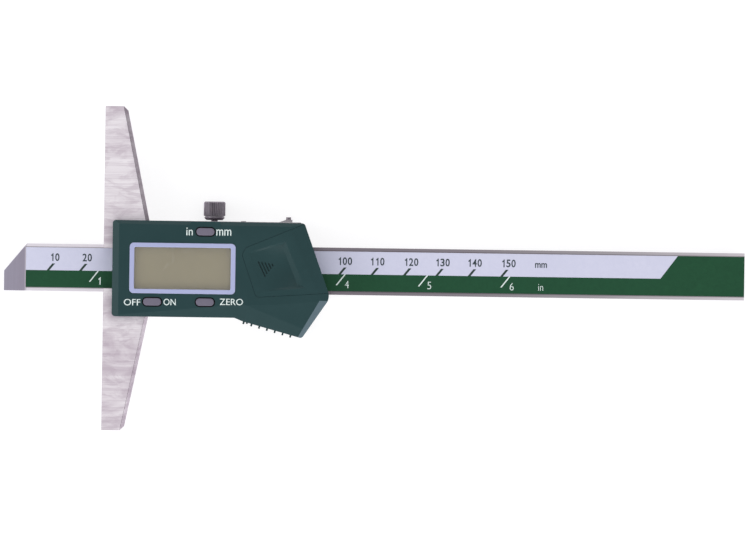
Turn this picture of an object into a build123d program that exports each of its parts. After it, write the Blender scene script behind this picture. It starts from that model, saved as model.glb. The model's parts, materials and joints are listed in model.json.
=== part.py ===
"""Digital depth gauge: a steel beam with a printed scale slides through a
100 mm base and a display unit, and the beam's tip reaches past the base.

+X runs along the beam to its far end, +Y along the base, +Z out of the
display. The origin is the middle of the base's measuring face, at the middle
of the beam's thickness. All sizes are in millimetres.
"""
from build123d import *
from math import cos, radians, sin
import os

os.makedirs("parts", exist_ok=True)

# ------------------------------------------------------------------ fits
running_gap = 0.05        # beam in its channel, each side
parting_gap = 0.10        # cover, buttons and frame beside their neighbours
press_gap = 0.02          # screw tips above the gib
overshoot = 1.0           # cuts past the faces they open

# ------------------------------------------------------------------ beam
beam_length = 228.5
beam_width = 14.6
beam_thickness = 3.5
beam_reach = 30.7         # tip past the measuring face, as drawn
tip_land = 6.7            # bare steel between the tip and the scale
tip_bevel_length = 7.0
tip_bevel_height = 8.45
scale_margin = 1.15       # bare steel above and below the scale
strip_thickness = 0.55
label_thickness = 0.15
label_inset = 0.05        # label below the beam's front face
stop_length = 7.0
stop_margin = 1.0         # stop plate in from the beam's end and edges
stop_thickness = 1.3
stop_screw_spacing = 7.0
stop_screw_diameter = 2.0
stop_screw_head = 3.6
stop_screw_head_height = 1.0
stop_screw_bite = 2.1     # thread length in the beam

# ------------------------------------------------------------------ base
base_length = 100.0
base_thickness = 6.7
base_end_depth = 7.0      # along X, at each end of the base
base_centre_depth = 17.0
base_edge_bevel = 1.1
base_corner_cut = 1.3
tab_start = 8.0           # where the frame's tab begins behind the base
tab_half_width = 14.4
base_screw_inset = 4.5    # from the base's deepest point
base_screw_y = 11.0
base_screw_diameter = 2.5
base_screw_head = 4.6
base_screw_head_height = 1.3
base_screw_bite = 2.5     # thread length in the base

# --------------------------------------------- housing, seen from the front
housing_left = 2.8
housing_top = 14.9
housing_bottom = -14.8
shoulder_x, shoulder_y = 61.9, 14.6
nose_x, nose_y = 69.75, -7.4
nose_drop = 1.8           # short upright edge below the nose
nose_radius = 3.0         # of both its corners
rest_tip_x, rest_tip_y = 61.45, -20.85
rest_start_x = 40.6
rest_knee_x, rest_knee_y = 43.3, -15.9
outline_corner = 1.0
housing_height = 8.05     # front of the base to the front of the housing
housing_wall = 1.4
housing_roof = 1.3
left_bevel_width, left_bevel_drop = 2.0, 1.2
top_bevel_width, top_bevel_drop = 1.1, 1.0
right_bevel_start_x, right_bevel_start_y = 57.7, 12.3
right_bevel_end_x, right_bevel_end_y = 66.6, -7.2
right_bevel_slope = 0.13
rest_bevel_widths, rest_bevel_slope = (2.6, 1.4), 0.85     # at the nose and at the tip
facet_slope = 0.2         # fall of the facet over the thumb rest, per millimetre
grip_facet_slope = 0.35   # fall of the facet along the whole bottom edge
# crease where the lower facets leave the front face, from left to right
facet_crease = [(4.7, -14.3), (40.8, -10.85), (51.3, -10.7), (66.8, -9.5)]
# crease between the thumb rest's two facets
grip_crease = [(44.0, -10.8), (60.2, -17.3)]
rest_skirt_depth = 4.75   # thumb rest behind the front of the base
rest_pocket_roof = 3.0    # thumb rest's hollow, above the front of the base
rib_count = 7
rib_pitch = 2.5
rib_first = 0.25          # first rib along the grip edge from the knee
rib_width = 0.5
rib_height = 0.75
half_rib_step = 1.0       # a lower rib beside the first
half_rib_height = 0.4
rib_top = 4.5             # above the front of the base

# ---------------------------------------------------------- slider frame
frame_inset = 1.07        # inside the housing's right edge, along X
frame_drop = 0.02         # frame's top edge below the housing's
frame_front_gap = 0.05    # frame behind the base's back edge
gib_start, gib_end = 22.0, 61.0
gib_thickness = 1.2
gib_side_gap = 0.15       # gib inside the beam's thickness, each side
frame_screw_y = 11.8
frame_screw_left_x = 22.5
frame_screw_top_x, frame_screw_bottom_x = 51.5, 57.5
frame_screw_diameter = 2.0
frame_screw_head = 3.8
frame_screw_head_height = 1.2
frame_screw_sunk = 0.24   # its head below the frame's back
frame_screw_bite = 5.0    # thread length in the housing's posts
post_diameter = 4.2

# ------------------------------------------------ screws in the top edge
lock_x = 34.0
lock_thread = 2.5
lock_pitch = 0.45
lock_turn = 45.0          # degrees from loose to clamped
lock_neck = 2.05
lock_neck_length = 0.4    # clear of the frame's top edge
lock_collar_height = 0.95
lock_collar_small = 5.0
lock_groove = 0.25        # height and depth, between the collar and the knurl
lock_head_diameter = 6.7
lock_head_height = 4.5
knurl_count = 36
knurl_depth = 0.24
lock_edge = 0.35          # chamfer round the head's outer end
lock_inner_edge = 0.2
gib_screw_diameter = 1.6
gib_screw_front_x, gib_screw_front_proud = 43.0, 0.2
gib_screw_rear_x, gib_screw_rear_proud = 56.9, 1.6
slot_width = 0.35
slot_depth = 0.5
cross_length = 0.6        # share of a screw's head
rear_ramp_length, rear_ramp_height = 3.0, 0.8
rear_ramp_half = 1.2      # half of its thickness, and its end past the screw

# ----------------------------------------------------------- electronics
board_thickness = 1.0
board_edge_gap = 0.4
board_right = 62.5
sensor_gap = 0.25         # sensor above the label
sensor_start, sensor_length = 20.0, 26.0
display_x, display_y = 24.45, 0.2
ring_corner = 1.3
view_length, view_width = 29.75, 12.9
ring_end_border, ring_side_border = 1.45, 1.35
view_corner = 0.4
ring_height = 0.7
ring_proud = 0.15
window_border = 0.8       # window past the ring's opening, each side
window_thickness = 0.6
lcd_thickness = 1.8
lcd_margin = 0.6          # glass past the visible area, each side
zebra_width = 1.6
holder_wall = 1.3
holder_rim = 0.7          # holder past the back of the glass
holder_ledge = 0.5
chip_diameter = 9.0
chip_height = 1.4
chip_taper = 40           # degrees from upright
crystal_diameter = 2.0
crystal_length = 6.0
board_screw_diameter = 1.6
board_screw_head = 2.8
board_screw_head_height = 0.9
board_screw_bite = 2.2
board_screw_spots = [(26.4, 10.7), (26.4, -10.7), (45.0, 10.7), (45.0, -11.2)]

# --------------------------------------------------------------- buttons
button_length, button_width = 5.6, 2.3
button_gap = 0.36         # between a button and the edge of its hole
button_proud = 0.3
button_travel = 0.4
flange_overlap = 0.2
flange_thickness = 0.8
dome_diameter = 3.2
dome_height = 0.35
dome_taper = 50           # degrees from upright
in_mm_x, in_mm_y = 31.4, 11.6
off_on_x, off_on_y = 15.25, -10.2
zero_x, zero_y = 31.5, -10.1
boss_radius = 5.4         # raised patch of the front round the upper button

# ------------------------------------------------ battery and its cover
battery_x, battery_y = 54.6, 0.5
battery_diameter = 11.6
battery_height = 5.4
battery_cap_diameter = 9.4
battery_cap_height = 0.4
battery_edge = 0.4        # radius round the can's closed end
contact_thickness = 0.25
contact_width = 3.0
contact_length = 9.3
tray_wall = 1.0
tray_height = 4.4
deck_thickness = 0.8
cover_angle = 14.0        # slide direction, anticlockwise from +X
cover_left = [(47.2, -8.45), (42.7, 4.6)]
cover_top_left = (43.7, 6.85)
cover_top_right = (66.1, 16.19)      # beyond the housing's right edge
cover_bottom_right = (73.23, -6.67)
cover_corner = 1.2
cover_lip_width = 1.0
cover_lip_thickness = 0.5
cover_lip_inset = 2.0     # lip's ends in from the cover's corners
cover_skirt = 2.0         # cover's edge below its plate
cover_rail_spacing = 15.0
cover_rail_width = 0.8
cover_rail_height = 0.6
cover_rail_length = 9.0
thumb_depth = 0.75        # deepest end of the thumb ramp
thumb_upper = [(44.6, 5.5), (56.1, 8.9), (62.4, -5.3), (49.0, -6.7)]
thumb_lower = [(45.0, 5.0), (55.0, 7.9), (60.0, -4.6), (49.2, -6.0)]
arrow_tip = (52.6, 1.8)
arrow_base = [(47.3, 2.6), (49.6, -2.2)]
arrow_lines = 5
arrow_line_width = 0.45
arrow_line_depth = 0.4

# ------------------------------------------------------------ worked out
beam_tip = -beam_reach
beam_end = beam_tip + beam_length
beam_half = beam_width / 2
beam_front = beam_thickness / 2
beam_back = -beam_front
channel_half = beam_half + running_gap
channel_front = beam_front + running_gap
scale_start = beam_tip + tip_land
scale_half = beam_half - scale_margin
label_front = beam_front - label_inset
label_back = label_front - label_thickness
recess_floor = label_back - strip_thickness
window_half = scale_half + parting_gap
ring_length = view_length + 2 * ring_end_border
ring_width = view_width + 2 * ring_side_border
base_screw_x = base_centre_depth - base_screw_inset
base_front = base_thickness / 2
base_back = -base_front
base_half = base_length / 2
frame_start = base_centre_depth + frame_front_gap
frame_top = housing_top - frame_drop
housing_front = base_front + housing_height
ceiling = housing_front - housing_roof
board_front = base_front + board_thickness
gib_travel = lock_pitch * lock_turn / 360
gib_bottom = beam_half + gib_travel + press_gap
gib_top = gib_bottom + gib_thickness
gib_half = beam_front - gib_side_gap
screw_tip = gib_top + press_gap


def right_edge(y):
    """X of the housing's slanted right edge at a height y."""
    return shoulder_x + (shoulder_y - y) * (nose_x - shoulder_x) / (shoulder_y - nose_y)


def rest_edge(y):
    """X of the thumb rest's right edge at a height y."""
    low_x = nose_x - nose_drop * (nose_x - shoulder_x) / (shoulder_y - nose_y) / 2
    low_y = nose_y - nose_drop
    return low_x + (low_y - y) * (rest_tip_x - low_x) / (low_y - rest_tip_y)


def crease_y(x):
    """Y of the lower facets' crease at x, straight on past its two ends."""
    spans = list(zip(facet_crease[:-1], facet_crease[1:]))
    (x0, y0), (x1, y1) = next((s for s in spans if x <= s[1][0]), spans[-1])
    return y0 + (x - x0) * (y1 - y0) / (x1 - x0)


def grip_y(x):
    """Y of the crease between the thumb rest's facets at x."""
    (x0, y0), (x1, y1) = grip_crease
    return y0 + (x - x0) * (y1 - y0) / (x1 - x0)


def crease_plane(start, end):
    """Plane square to a crease on the housing's front: its x leaves the
    crease to the left of the way from start to end, its y is up."""
    along = Vector(end[0] - start[0], end[1] - start[1], 0).normalized()
    outward = Vector(-along.Y, along.X, 0)
    return Plane(origin=(start[0], start[1], housing_front), x_dir=outward, z_dir=along)


def bevel_wedge(start, end, width, slope):
    """What a bevel takes off outside a straight crease of the housing."""
    length = Vector(end[0] - start[0], end[1] - start[1], 0).length
    with BuildPart() as wedge:
        with BuildSketch(crease_plane(start, end)):
            with BuildLine():
                Polyline((0, 0), (width, -slope * width), (width, overshoot), (0, overshoot), close=True)
            make_face()
        extrude(amount=length)
    return wedge.part


def facet_wedge(sections, reach, slope):
    """What a facet takes off below a crease, given as (x, y, z) places."""
    with BuildPart() as wedge:
        for x, y, z in sections:
            with BuildSketch(Plane.YZ.offset(x)):
                with BuildLine():
                    above = housing_front + overshoot
                    Polyline((y, z), (y - reach, z - slope * reach), (y - reach, above), (y, above),
                             close=True)
                make_face()
        loft(ruled=True)
    return wedge.part


def back_screws(places, top, head, head_height, shank, length, sunk):
    """Cross-slotted screws entered from the back, their heads' faces at z = top."""
    with BuildPart() as screws:
        with Locations(*[Location((x, y, top), (180, 0, 0)) for x, y in places]):
            if sunk:
                Cone(shank / 2, head / 2, head_height, align=(Align.CENTER, Align.CENTER, Align.MAX))
            else:
                Cylinder(head / 2, head_height, align=(Align.CENTER, Align.CENTER, Align.MAX))
            Cylinder(shank / 2, length, align=(Align.CENTER, Align.CENTER, Align.MAX))
            for turn in (0, 90):
                Box(cross_length * head, slot_width, slot_depth, rotation=(0, 0, turn),
                    align=(Align.CENTER, Align.CENTER, Align.MAX), mode=Mode.SUBTRACT)
    return screws.part


def sunk_holes(places, top, head, head_height, shank, length):
    """Countersunk holes for back_screws."""
    with BuildPart() as holes:
        with Locations(*[Location((x, y, top), (180, 0, 0)) for x, y in places]):
            Cone(shank / 2, head / 2, head_height, align=(Align.CENTER, Align.CENTER, Align.MAX))
            Cylinder(shank / 2, length, align=(Align.CENTER, Align.CENTER, Align.MAX))
    return holes.part


def save(piece, name):
    piece.label = name
    export_step(piece, f"parts/{name}.step")


# ------------------------------------------------------------------ beam
# Ground stainless bar: tip bevelled above, and a shallow recess for the scale.
stop_screw_x = beam_end - stop_margin - stop_length / 2
stop_spots = [(stop_screw_x, -stop_screw_spacing / 2), (stop_screw_x, stop_screw_spacing / 2)]
stop_screw = (beam_back - stop_thickness, stop_screw_head, stop_screw_head_height,
              stop_screw_diameter, stop_thickness + stop_screw_bite)
with BuildPart() as beam:
    with BuildSketch(Plane.XY.offset(beam_back)):
        with BuildLine():
            Polyline((beam_tip, -beam_half), (beam_end, -beam_half), (beam_end, beam_half),
                     (beam_tip + tip_bevel_length, beam_half),
                     (beam_tip, beam_half - tip_bevel_height), close=True)
        make_face()
    extrude(amount=beam_thickness)
    with BuildSketch(Plane.XY.offset(recess_floor)):
        with Locations((scale_start, 0)):
            Rectangle(beam_length, 2 * scale_half, align=(Align.MIN, Align.CENTER))
    extrude(amount=beam_thickness, mode=Mode.SUBTRACT)
    add(sunk_holes(stop_spots, *stop_screw), mode=Mode.SUBTRACT)
save(beam.part, "beam")

# Encoder strip, glued in the recess, with the printed label over it.
for name, low, thickness in (("scale_strip", recess_floor, strip_thickness),
                             ("scale_label", label_back, label_thickness)):
    with BuildPart() as layer:
        with BuildSketch(Plane.XY.offset(low)):
            with Locations((scale_start, 0)):
                Rectangle(beam_end - scale_start, 2 * scale_half, align=(Align.MIN, Align.CENTER))
        extrude(amount=thickness)
    save(layer.part, name)

# Stop plate on the back of the beam's far end, and its two screws.
with BuildPart() as stop_plate:
    with BuildSketch(Plane.XY.offset(beam_back - stop_thickness)) as stop_outline:
        with Locations((beam_end - stop_margin, 0)):
            Rectangle(stop_length, beam_width - 2 * stop_margin, align=(Align.MAX, Align.CENTER))
        fillet(stop_outline.vertices(), stop_margin)
    extrude(amount=stop_thickness)
    add(sunk_holes(stop_spots, *stop_screw), mode=Mode.SUBTRACT)
save(stop_plate.part, "stop_plate")
save(back_screws(stop_spots, *stop_screw, True), "stop_screws")

# ------------------------------------------------------------------ base
# Hardened steel base: thickest at the beam, tapering to each end. The beam
# runs in a channel that is closed behind and lipped in front.
base_spots = [(base_screw_x, base_screw_y), (base_screw_x, -base_screw_y)]
base_screw = (base_back, base_screw_head, base_screw_head_height, base_screw_diameter,
              base_thickness / 2 + base_screw_bite)
with BuildPart() as base:
    with BuildSketch(Plane.XY.offset(base_back)):
        with BuildLine():
            Polyline((0, -base_half), (base_end_depth - base_corner_cut, -base_half),
                     (base_end_depth, base_corner_cut - base_half), (base_centre_depth, 0),
                     (base_end_depth, base_half - base_corner_cut),
                     (base_end_depth - base_corner_cut, base_half), (0, base_half), close=True)
        make_face()
    extrude(amount=base_thickness)
    back_edges = base.edges().filter_by(Plane.XY).filter_by(
        lambda e: e.center().X > base_end_depth and e.length > base_end_depth)
    chamfer(back_edges, base_edge_bevel)
    with BuildSketch(Plane.XY.offset(base_back)):
        with Locations((tab_start, 0)):
            Rectangle(base_centre_depth, 2 * tab_half_width + 2 * parting_gap,
                      align=(Align.MIN, Align.CENTER))
    extrude(amount=base_thickness / 2, mode=Mode.SUBTRACT)
    Box(2 * base_centre_depth, 2 * channel_half, 2 * channel_front, mode=Mode.SUBTRACT)
    Box(2 * base_centre_depth, 2 * window_half, base_thickness,
        align=(Align.CENTER, Align.CENTER, Align.MIN), mode=Mode.SUBTRACT)
    add(sunk_holes(base_spots, *base_screw), mode=Mode.SUBTRACT)
save(base.part, "base")
save(back_screws(base_spots, *base_screw, True), "base_screws")

# ---------------------------------------------------------- slider frame
# Steel body behind the housing: back wall, two rails and front lips round the
# beam, and a tab under the base. The gib lies in a groove of the upper rail.
frame_spots = [(frame_screw_left_x, frame_screw_y), (frame_screw_left_x, -frame_screw_y),
               (frame_screw_top_x, frame_screw_y), (frame_screw_bottom_x, -frame_screw_y)]
gib_screw_spots = [(gib_screw_front_x, gib_screw_front_proud), (gib_screw_rear_x, gib_screw_rear_proud)]
with BuildPart() as slider_frame:
    with BuildSketch(Plane.XY.offset(base_back)):
        with BuildLine():
            Polyline((frame_start, housing_bottom), (rest_edge(housing_bottom) - frame_inset, housing_bottom),
                     (rest_edge(nose_y - nose_drop) - frame_inset, nose_y - nose_drop),
                     (nose_x - frame_inset, nose_y), (right_edge(frame_top) - frame_inset, frame_top),
                     (frame_start, frame_top), close=True)
        make_face()
    extrude(amount=base_thickness)
    with BuildSketch(Plane.XY.offset(base_back)):
        with Locations((tab_start + parting_gap, 0)):
            Rectangle(base_centre_depth - tab_start + frame_front_gap, 2 * tab_half_width,
                      align=(Align.MIN, Align.CENTER))
    extrude(amount=base_thickness / 2)
    with BuildSketch(Plane.XY) as rear_screw_ramp:
        with BuildLine():
            ramp_high = frame_top + rear_ramp_height
            Polyline((gib_screw_rear_x - rear_ramp_length, frame_top),
                     (gib_screw_rear_x + rear_ramp_half, frame_top),
                     (gib_screw_rear_x + rear_ramp_half, ramp_high),
                     (gib_screw_rear_x - gib_screw_diameter / 2, ramp_high), close=True)
        make_face()
    extrude(amount=rear_ramp_half, both=True)
    Box(3 * nose_x, 2 * channel_half, 2 * channel_front, mode=Mode.SUBTRACT)
    Box(3 * nose_x, 2 * window_half, base_thickness,
        align=(Align.CENTER, Align.CENTER, Align.MIN), mode=Mode.SUBTRACT)
    with Locations((gib_start - parting_gap, 0, 0)):
        Box(gib_end - gib_start + 2 * parting_gap, gib_top + press_gap, 2 * channel_front,
            align=(Align.MIN, Align.MIN, Align.CENTER), mode=Mode.SUBTRACT)
    with Locations(Location((lock_x, frame_top + overshoot, 0), (90, 0, 0))):
        Cylinder(lock_thread / 2 + running_gap, frame_top + overshoot, mode=Mode.SUBTRACT,
                 align=(Align.CENTER, Align.CENTER, Align.MIN))
    with Locations(*[Location((x, frame_top + overshoot, 0), (90, 0, 0)) for x, proud in gib_screw_spots]):
        Cylinder(gib_screw_diameter / 2, frame_top + overshoot, mode=Mode.SUBTRACT,
                 align=(Align.CENTER, Align.CENTER, Align.MIN))
    with Locations(*[(x, y, base_back) for x, y in frame_spots]):
        Cylinder(frame_screw_diameter / 2, base_thickness, mode=Mode.SUBTRACT,
                 align=(Align.CENTER, Align.CENTER, Align.MIN))
        Cylinder(frame_screw_head / 2, frame_screw_head_height, mode=Mode.SUBTRACT,
                 align=(Align.CENTER, Align.CENTER, Align.MIN))
    with Locations(*[(x, y, base_front) for x, y in board_screw_spots]):
        Cylinder(board_screw_diameter / 2, board_screw_bite, mode=Mode.SUBTRACT,
                 align=(Align.CENTER, Align.CENTER, Align.MAX))
    add(sunk_holes(base_spots, *base_screw), mode=Mode.SUBTRACT)
save(slider_frame.part, "slider_frame")

# Brass gib: the lock screw presses it on the beam's upper edge.
with BuildPart() as gib:
    with Locations((gib_start, gib_bottom, 0)):
        Box(gib_end - gib_start, gib_thickness, 2 * gib_half,
            align=(Align.MIN, Align.MIN, Align.CENTER))
save(gib.part, "gib")

# Slotted set screws that take up the gib's play.
for name, (x, proud) in zip(("gib_screw_front", "gib_screw_rear"), gib_screw_spots):
    with BuildPart() as set_screw:
        with BuildSketch(Plane.XZ.offset(-screw_tip)):
            with Locations((x, 0)):
                Circle(gib_screw_diameter / 2)
        extrude(amount=-(frame_top + proud - screw_tip))
        with Locations((x, frame_top + proud, 0)):
            Box(gib_screw_diameter, slot_depth, slot_width,
                align=(Align.CENTER, Align.MAX, Align.CENTER), mode=Mode.SUBTRACT)
    save(set_screw.part, name)

# Lock screw: knurled head over a tapered collar, thin neck, thread to the gib.
collar_low = frame_top + lock_neck_length
collar_high = collar_low + lock_collar_height
head_low = collar_high + lock_groove
lock_root = lock_x + lock_head_diameter / 2 - knurl_depth
head_high = head_low + lock_head_height
with BuildPart() as lock_screw:
    with BuildSketch(Plane.XY) as turned_profile:
        with BuildLine():
            Polyline((lock_x, screw_tip), (lock_x + lock_thread / 2, screw_tip),
                     (lock_x + lock_thread / 2, frame_top - lock_neck_length),
                     (lock_x + lock_neck / 2, frame_top - lock_neck_length),
                     (lock_x + lock_neck / 2, collar_low),
                     (lock_x + lock_collar_small / 2, collar_low),
                     (lock_root, collar_high - lock_edge), (lock_root, collar_high),
                     (lock_root - lock_groove, collar_high), (lock_root - lock_groove, head_low),
                     (lock_x + lock_head_diameter / 2 - lock_inner_edge, head_low),
                     (lock_x + lock_head_diameter / 2, head_low + lock_inner_edge),
                     (lock_x + lock_head_diameter / 2, head_high - lock_edge),
                     (lock_x + lock_head_diameter / 2 - lock_edge, head_high),
                     (lock_x, head_high), close=True)
        make_face()
    revolve(axis=Axis((lock_x, 0, 0), (0, 1, 0)))
    with BuildSketch(Plane.XZ.offset(-head_low)):
        with Locations((lock_x, 0)):
            with PolarLocations(lock_head_diameter / 2, knurl_count):
                RegularPolygon(knurl_depth, 4)
    extrude(amount=-lock_head_height, mode=Mode.SUBTRACT)
save(lock_screw.part, "lock_screw")

# ------------------------------------------------- housing's outer form
# Bevels to the left, top and right, and facets that fall to the bottom edge
# and over the thumb rest.
low_right = (rest_edge(nose_y - nose_drop), nose_y - nose_drop)
low_left, high_left = (housing_left, housing_bottom), (housing_left, housing_top)
shoulder, rest_tip = (shoulder_x, shoulder_y), (rest_tip_x, rest_tip_y)
with BuildSketch() as sharp_outline:
    with BuildLine():
        Polyline(low_left, (rest_start_x, housing_bottom), (rest_knee_x, rest_knee_y), rest_tip,
                 low_right, (nose_x, nose_y), shoulder, high_left, close=True)
    make_face()
with BuildSketch() as housing_outline:
    add(sharp_outline.sketch)
    fillet([housing_outline.vertices().sort_by_distance(corner)[0]
            for corner in (low_left, rest_tip, shoulder, high_left)], outline_corner)
    fillet([housing_outline.vertices().sort_by_distance(corner)[0]
            for corner in ((nose_x, nose_y), low_right)], nose_radius)
with BuildSketch() as cavity_outline:
    add(sharp_outline.sketch)
    offset(amount=-housing_wall, kind=Kind.INTERSECTION)
    with Locations((housing_left, housing_bottom + housing_wall)):
        Rectangle(nose_x, housing_top - housing_bottom, align=(Align.MIN, Align.MIN), mode=Mode.INTERSECT)

left_crease = housing_left + left_bevel_width
outline_run = 3 * overshoot     # past both ends of the right bevel
right_fall = (right_bevel_end_x - right_bevel_start_x) / (right_bevel_end_y - right_bevel_start_y)
tip_fall = facet_slope * (crease_y(rest_tip_x) - grip_y(rest_tip_x))
tip_fall += grip_facet_slope * (grip_y(rest_tip_x) - rest_tip_y)
first_grip_x = grip_crease[0][0]
bevels = [
    bevel_wedge((left_crease, housing_bottom - overshoot), (left_crease, housing_top + overshoot),
                left_bevel_width + overshoot, left_bevel_drop / left_bevel_width),
    bevel_wedge((housing_left - overshoot, housing_top - top_bevel_width),
                (shoulder_x + overshoot, shoulder_y - top_bevel_width),
                top_bevel_width + overshoot, top_bevel_drop / top_bevel_width),
    bevel_wedge((right_bevel_start_x + outline_run * right_fall, right_bevel_start_y + outline_run),
                (right_bevel_end_x - outline_run * right_fall, right_bevel_end_y - outline_run),
                nose_x - shoulder_x, right_bevel_slope),
    facet_wedge([(x, crease_y(x), housing_front)
                 for x in (first_grip_x, *[x for x, y in facet_crease[2:]], nose_x + overshoot)],
                -rest_tip_y, facet_slope),
    facet_wedge([(x, crease_y(x), housing_front) for x in (housing_left - overshoot, facet_crease[1][0])]
                + [(x, grip_y(x), housing_front - facet_slope * (crease_y(x) - grip_y(x)))
                   for x in (first_grip_x, facet_crease[2][0], nose_x)],
                -rest_tip_y, grip_facet_slope)]
with BuildPart() as rest_bevel:
    for (x, y), z, width in zip((low_right, rest_tip), (housing_front, housing_front - tip_fall),
                                rest_bevel_widths):
        with BuildSketch(Plane.XZ.offset(-y)):
            with BuildLine():
                crease = x - width
                reach = 3 * width
                Polyline((crease, z), (crease + reach, z - rest_bevel_slope * reach),
                         (crease + reach, housing_front + overshoot), (crease, housing_front + overshoot),
                         close=True)
            make_face()
    loft(ruled=True)

with BuildPart() as outer_form:
    with BuildSketch(Plane.XY.offset(base_front)):
        add(housing_outline.sketch)
    extrude(amount=housing_height)
    for bevel in bevels:
        add(bevel, mode=Mode.SUBTRACT)
    add(rest_bevel.part, mode=Mode.SUBTRACT)
    with BuildSketch(Plane.XY.offset(ceiling)):
        with Locations((in_mm_x, in_mm_y)):
            Circle(boss_radius)
        add(housing_outline.sketch, mode=Mode.INTERSECT)
    extrude(amount=housing_roof)

# --------------------------------------------------------- battery cover
# It lifts nothing: it slides out to the right on two rails, with a lip under
# the housing's roof and a skirt that closes the housing's right wall.
slide = Vector(cos(radians(cover_angle)), sin(radians(cover_angle)), 0)
across = Vector(-slide.Y, slide.X, 0)


def beyond(start, end, factor):
    """The point that lies past end on the line from start."""
    return (start[0] + factor * (end[0] - start[0]), start[1] + factor * (end[1] - start[1]))


with BuildSketch() as cover_outline:
    with BuildLine():
        Polyline(*cover_left, cover_top_left, cover_top_right, cover_bottom_right, close=True)
    make_face()
    fillet([cover_outline.vertices().sort_by_distance(p)[0]
            for p in (cover_left[0], cover_left[1], cover_top_left)], cover_corner)
left_side = Vector(cover_left[1][0] - cover_left[0][0], cover_left[1][1] - cover_left[0][1], 0)
lip_inset = cover_lip_inset / left_side.length
lip_ends = [beyond(*cover_left, lip_inset), beyond(*cover_left, 1 - lip_inset)]
with BuildSketch() as lip_outline:
    with BuildLine():
        Polyline(*[(x + step * slide.X, y + step * slide.Y) for step, ends in
                   ((cover_lip_width, lip_ends), (-cover_lip_width, lip_ends[::-1]))
                   for x, y in ends], close=True)
    make_face()
rail_places = [Location((battery_x + side * across.X * cover_rail_spacing / 2,
                         battery_y + side * across.Y * cover_rail_spacing / 2, ceiling),
                        (0, 0, cover_angle)) for side in (-1, 1)]
arrow_along = Vector(arrow_base[1][0] - arrow_base[0][0], arrow_base[1][1] - arrow_base[0][1], 0)

# The thumb ramp's floor starts just under the cover's face and deepens to the
# right. Its first, second and last corners set its plane.
ramp_start, ramp_deep, ramp_low = [Vector(x, y, housing_front - running_gap - depth) for (x, y), depth in
                                   zip((thumb_lower[0], thumb_lower[1], thumb_lower[3]), (0, thumb_depth, 0))]
ramp_plane = Plane(origin=ramp_start, x_dir=ramp_deep - ramp_start,
                   z_dir=(ramp_deep - ramp_start).cross(ramp_start - ramp_low))


def ramp_z(x, y):
    """Height of the thumb ramp's floor at (x, y)."""
    up = ramp_plane.z_dir
    return ramp_start.Z - (up.X * (x - ramp_start.X) + up.Y * (y - ramp_start.Y)) / up.Z


with BuildPart() as thumb_ramp:
    with BuildSketch(ramp_plane):
        with BuildLine():
            Polyline(*[ramp_plane.to_local_coords(Vector(x, y, ramp_z(x, y))) for x, y in thumb_lower],
                     close=True)
        make_face()
    with BuildSketch(Plane.XY.offset(housing_front)):
        with BuildLine():
            Polyline(*thumb_upper, close=True)
        make_face()
    loft(ruled=True)

with BuildPart() as battery_cover:
    add(outer_form.part)
    with BuildSketch(Plane.XY.offset(ceiling)):
        add(cover_outline.sketch)
        offset(amount=-parting_gap)
    extrude(amount=housing_roof, mode=Mode.INTERSECT)
    with BuildSketch(Plane.XY.offset(ceiling)):
        add(lip_outline.sketch)
    extrude(amount=cover_lip_thickness)
    with BuildSketch(Plane.XY.offset(ceiling)) as skirt_outline:
        add(cover_outline.sketch)
        offset(amount=-parting_gap)
        add(housing_outline.sketch, mode=Mode.INTERSECT)
        add(cavity_outline.sketch, mode=Mode.SUBTRACT)
    extrude(amount=-cover_skirt)
    with Locations(*rail_places):
        Box(cover_rail_length, cover_rail_width, cover_rail_height,
            align=(Align.CENTER, Align.CENTER, Align.MAX))
    add(thumb_ramp.part, mode=Mode.SUBTRACT)
    for line in range(arrow_lines):
        share = (line + 0.5) / arrow_lines
        middle = beyond(((arrow_base[0][0] + arrow_base[1][0]) / 2,
                         (arrow_base[0][1] + arrow_base[1][1]) / 2), arrow_tip, share)
        groove = Plane(origin=(*middle, ramp_z(*middle)), x_dir=arrow_along, z_dir=(0, 0, 1))
        with BuildSketch(groove):
            SlotOverall(arrow_along.length * (1 - share) + arrow_line_width, arrow_line_width)
        extrude(amount=arrow_line_depth, both=True, mode=Mode.SUBTRACT)
save(battery_cover.part, "battery_cover")

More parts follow.
